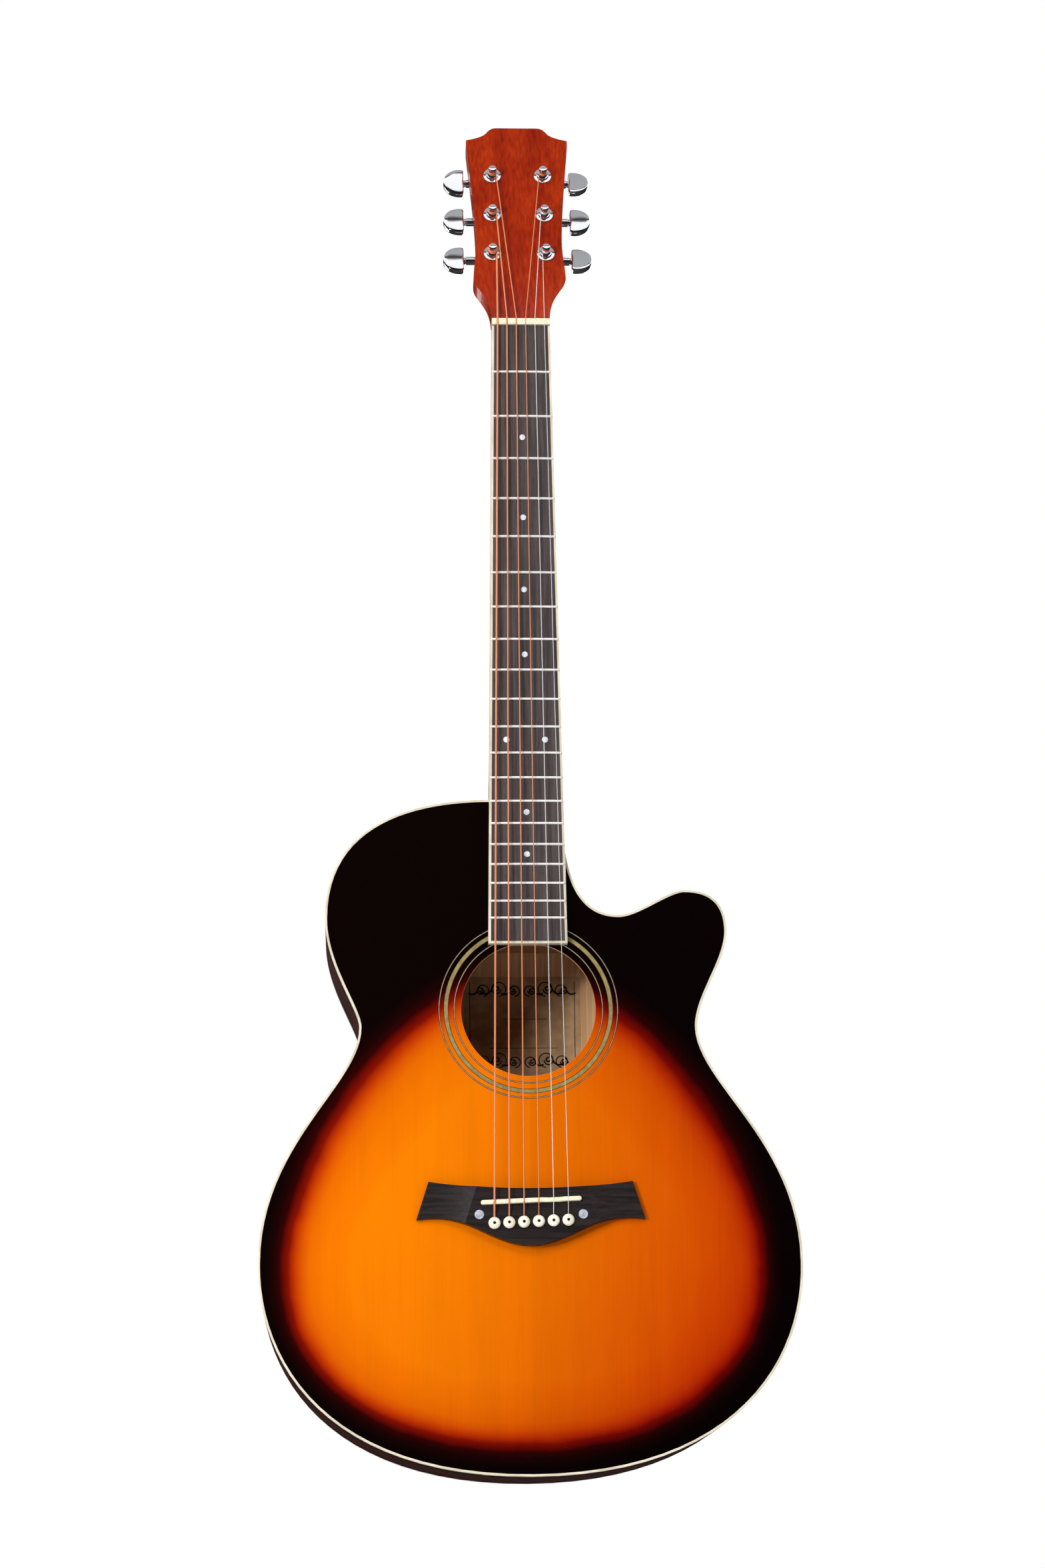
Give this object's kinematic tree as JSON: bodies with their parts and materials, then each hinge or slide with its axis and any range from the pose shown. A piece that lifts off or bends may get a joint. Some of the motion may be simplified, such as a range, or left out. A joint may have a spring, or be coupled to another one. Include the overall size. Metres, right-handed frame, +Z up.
{
  "type": "acoustic guitar",
  "caption": "Steel-string acoustic guitar with a rounded cutaway body, a bound fretboard, a pinned bridge and geared tuners on a tilted head.",
  "frame": {"origin": "middle of the neck just under the head's flare, where a wall hanger's yoke carries the instrument", "axes": "+Z up the neck towards the head, +X towards the treble side with the cutaway, -Y out of the soundboard towards the player's audience"},
  "size_m": [0.3776, 0.1091, 1.0074],
  "materials": {
    "soundboard": "glossy sunburst lacquer over fine vertical spruce grain",
    "body_wood": "glossy dark red-brown lacquer over mahogany",
    "neck_wood": "glossy red-brown lacquer over mahogany",
    "bare_wood": "unfinished pale spruce",
    "dark_wood": "oiled dark streaked hardwood",
    "fret_wire": "polished nickel silver",
    "binding": "glossy cream celluloid",
    "bone": "polished ivory-coloured moulded bone substitute",
    "inlay": "olive brown celluloid ring under lacquer",
    "chrome": "mirror chrome",
    "steel": "zinc plated steel",
    "plain_wire": "bright drawn steel wire",
    "wound_wire": "copper coloured bronze winding"
  },
  "bodies": {
    "instrument": {"top": "soundboard", "rosette": "inlay", "back": "body_wood", "binding_top": "binding", "binding_back": "binding", "side_bass": "body_wood", "side_treble": "body_wood", "neck_block": "bare_wood", "tail_block": "bare_wood", "lining_top": "bare_wood", "lining_back": "bare_wood", "x_brace": "bare_wood", "transverse_brace": "bare_wood", "bridge_plate": "bare_wood", "back_brace_upper": "bare_wood", "back_brace_lower": "bare_wood", "neck": "neck_wood", "truss_rod": "steel", "fretboard": "dark_wood", "fretboard_binding": "binding", "nut": "bone", "bridge": "dark_wood", "saddle": "bone", "tuner_housing_1": "chrome", "tuner_bushing_1": "chrome", "tuner_housing_2": "chrome", "tuner_bushing_2": "chrome", "tuner_housing_3": "chrome", "tuner_bushing_3": "chrome", "tuner_housing_4": "chrome", "tuner_bushing_4": "chrome", "tuner_housing_5": "chrome", "tuner_bushing_5": "chrome", "tuner_housing_6": "chrome", "tuner_bushing_6": "chrome", "string_1": "wound_wire", "string_2": "wound_wire", "string_3": "wound_wire", "string_4": "wound_wire", "string_5": "plain_wire", "string_6": "plain_wire"},
    "truss_rod_nut": {"truss_rod_nut": "steel"},
    "bridge_pin_1": {"bridge_pin_1": "bone"},
    "bridge_pin_2": {"bridge_pin_2": "bone"},
    "bridge_pin_3": {"bridge_pin_3": "bone"},
    "bridge_pin_4": {"bridge_pin_4": "bone"},
    "bridge_pin_5": {"bridge_pin_5": "bone"},
    "bridge_pin_6": {"bridge_pin_6": "bone"},
    "tuner_post_1": {"tuner_post_1": "chrome"},
    "tuner_post_2": {"tuner_post_2": "chrome"},
    "tuner_post_3": {"tuner_post_3": "chrome"},
    "tuner_post_4": {"tuner_post_4": "chrome"},
    "tuner_post_5": {"tuner_post_5": "chrome"},
    "tuner_post_6": {"tuner_post_6": "chrome"},
    "tuner_button_1": {"tuner_button_1": "chrome"},
    "tuner_button_2": {"tuner_button_2": "chrome"},
    "tuner_button_3": {"tuner_button_3": "chrome"},
    "tuner_button_4": {"tuner_button_4": "chrome"},
    "tuner_button_5": {"tuner_button_5": "chrome"},
    "tuner_button_6": {"tuner_button_6": "chrome"}
  },
  "joints": [
    {"name": "button_turn_1", "type": "hinge", "parent": "instrument", "child": "tuner_button_1", "pos_m": [-0.0348, 0.02618, 0.04732], "axis": [1, 0, 0], "continuous": true},
    {"name": "post_turn_1", "type": "hinge", "parent": "instrument", "child": "tuner_post_1", "pos_m": [-0.0198, 0.0134, 0.04175], "axis": [0, -0.9744, 0.225], "continuous": true},
    {"name": "button_turn_2", "type": "hinge", "parent": "instrument", "child": "tuner_button_2", "pos_m": [-0.0344, 0.03415, 0.08181], "axis": [1, 0, 0], "continuous": true},
    {"name": "post_turn_2", "type": "hinge", "parent": "instrument", "child": "tuner_post_2", "pos_m": [-0.0194, 0.02137, 0.07624], "axis": [0, -0.9744, 0.225], "continuous": true},
    {"name": "button_turn_3", "type": "hinge", "parent": "instrument", "child": "tuner_button_3", "pos_m": [-0.034, 0.04213, 0.1164], "axis": [1, 0, 0], "continuous": true},
    {"name": "post_turn_3", "type": "hinge", "parent": "instrument", "child": "tuner_post_3", "pos_m": [-0.019, 0.02935, 0.11083], "axis": [0, -0.9744, 0.225], "continuous": true},
    {"name": "button_turn_4", "type": "hinge", "parent": "instrument", "child": "tuner_button_4", "pos_m": [0.034, 0.04213, 0.1164], "axis": [1, 0, 0], "continuous": true},
    {"name": "post_turn_4", "type": "hinge", "parent": "instrument", "child": "tuner_post_4", "pos_m": [0.019, 0.02935, 0.11083], "axis": [0, -0.9744, 0.225], "continuous": true},
    {"name": "button_turn_5", "type": "hinge", "parent": "instrument", "child": "tuner_button_5", "pos_m": [0.0344, 0.03415, 0.08181], "axis": [1, 0, 0], "continuous": true},
    {"name": "post_turn_5", "type": "hinge", "parent": "instrument", "child": "tuner_post_5", "pos_m": [0.0194, 0.02137, 0.07624], "axis": [0, -0.9744, 0.225], "continuous": true},
    {"name": "button_turn_6", "type": "hinge", "parent": "instrument", "child": "tuner_button_6", "pos_m": [0.0348, 0.02618, 0.04732], "axis": [1, 0, 0], "continuous": true},
    {"name": "post_turn_6", "type": "hinge", "parent": "instrument", "child": "tuner_post_6", "pos_m": [0.0198, 0.0134, 0.04175], "axis": [0, -0.9744, 0.225], "continuous": true},
    {"name": "pin_pull_1", "type": "slide", "parent": "instrument", "child": "bridge_pin_1", "axis": [0, -1, 0], "range_m": [0, 0.028]},
    {"name": "pin_pull_2", "type": "slide", "parent": "instrument", "child": "bridge_pin_2", "axis": [0, -1, 0], "range_m": [0, 0.028]},
    {"name": "pin_pull_3", "type": "slide", "parent": "instrument", "child": "bridge_pin_3", "axis": [0, -1, 0], "range_m": [0, 0.028]},
    {"name": "pin_pull_4", "type": "slide", "parent": "instrument", "child": "bridge_pin_4", "axis": [0, -1, 0], "range_m": [0, 0.028]},
    {"name": "pin_pull_5", "type": "slide", "parent": "instrument", "child": "bridge_pin_5", "axis": [0, -1, 0], "range_m": [0, 0.028]},
    {"name": "pin_pull_6", "type": "slide", "parent": "instrument", "child": "bridge_pin_6", "axis": [0, -1, 0], "range_m": [0, 0.028]},
    {"name": "truss_rod_turn", "type": "hinge", "parent": "instrument", "child": "truss_rod_nut", "pos_m": [0, 0.003, -0.423], "axis": [0, 0, 1], "range_deg": [-360, 360]}
  ],
  "couplings": [
    {"joint": "post_turn_1", "follows": "button_turn_1", "ratio": -0.071429},
    {"joint": "post_turn_2", "follows": "button_turn_2", "ratio": -0.071429},
    {"joint": "post_turn_3", "follows": "button_turn_3", "ratio": -0.071429},
    {"joint": "post_turn_4", "follows": "button_turn_4", "ratio": 0.071429},
    {"joint": "post_turn_5", "follows": "button_turn_5", "ratio": 0.071429},
    {"joint": "post_turn_6", "follows": "button_turn_6", "ratio": 0.071429}
  ]
}
